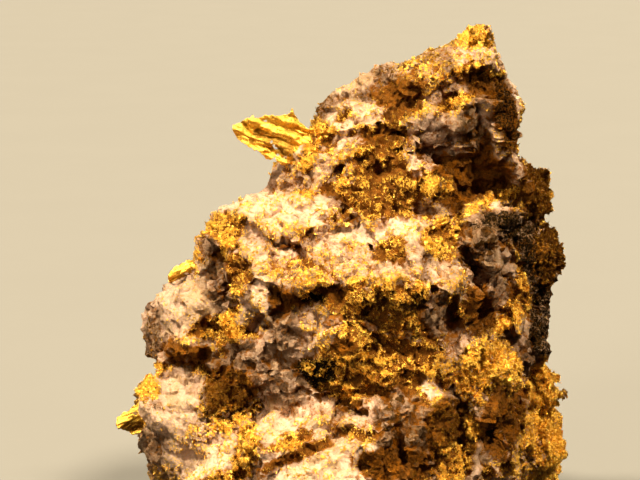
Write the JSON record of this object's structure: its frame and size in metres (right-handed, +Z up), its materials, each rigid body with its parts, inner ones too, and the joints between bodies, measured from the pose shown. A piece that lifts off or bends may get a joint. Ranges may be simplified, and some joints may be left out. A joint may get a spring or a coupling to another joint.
{
  "type": "gold nugget",
  "caption": "Craggy hand-sized lump of milky vein quartz with native gold in crusts, grains and thin crumpled leaves over it, standing on a flat trimmed base.",
  "frame": {"origin": "middle of the flat trimmed base, on its underside", "axes": "+Z up through the lump; -Y is the display side; +X is to the right seen from the display side"},
  "size_m": [0.1128, 0.0959, 0.1395],
  "materials": {
    "quartz": "milky broken quartz with iron stain",
    "gold": "hackly native gold"
  },
  "bodies": {
    "root": {"quartz": "quartz", "gold_summit_cap": "gold", "gold_ear": "gold", "gold_knob": "gold", "gold_front": "gold", "gold_right_foot": "gold", "gold_valley": "gold", "gold_leaf": "gold", "gold_flap": "gold", "gold_curl": "gold"}
  },
  "joints": []
}
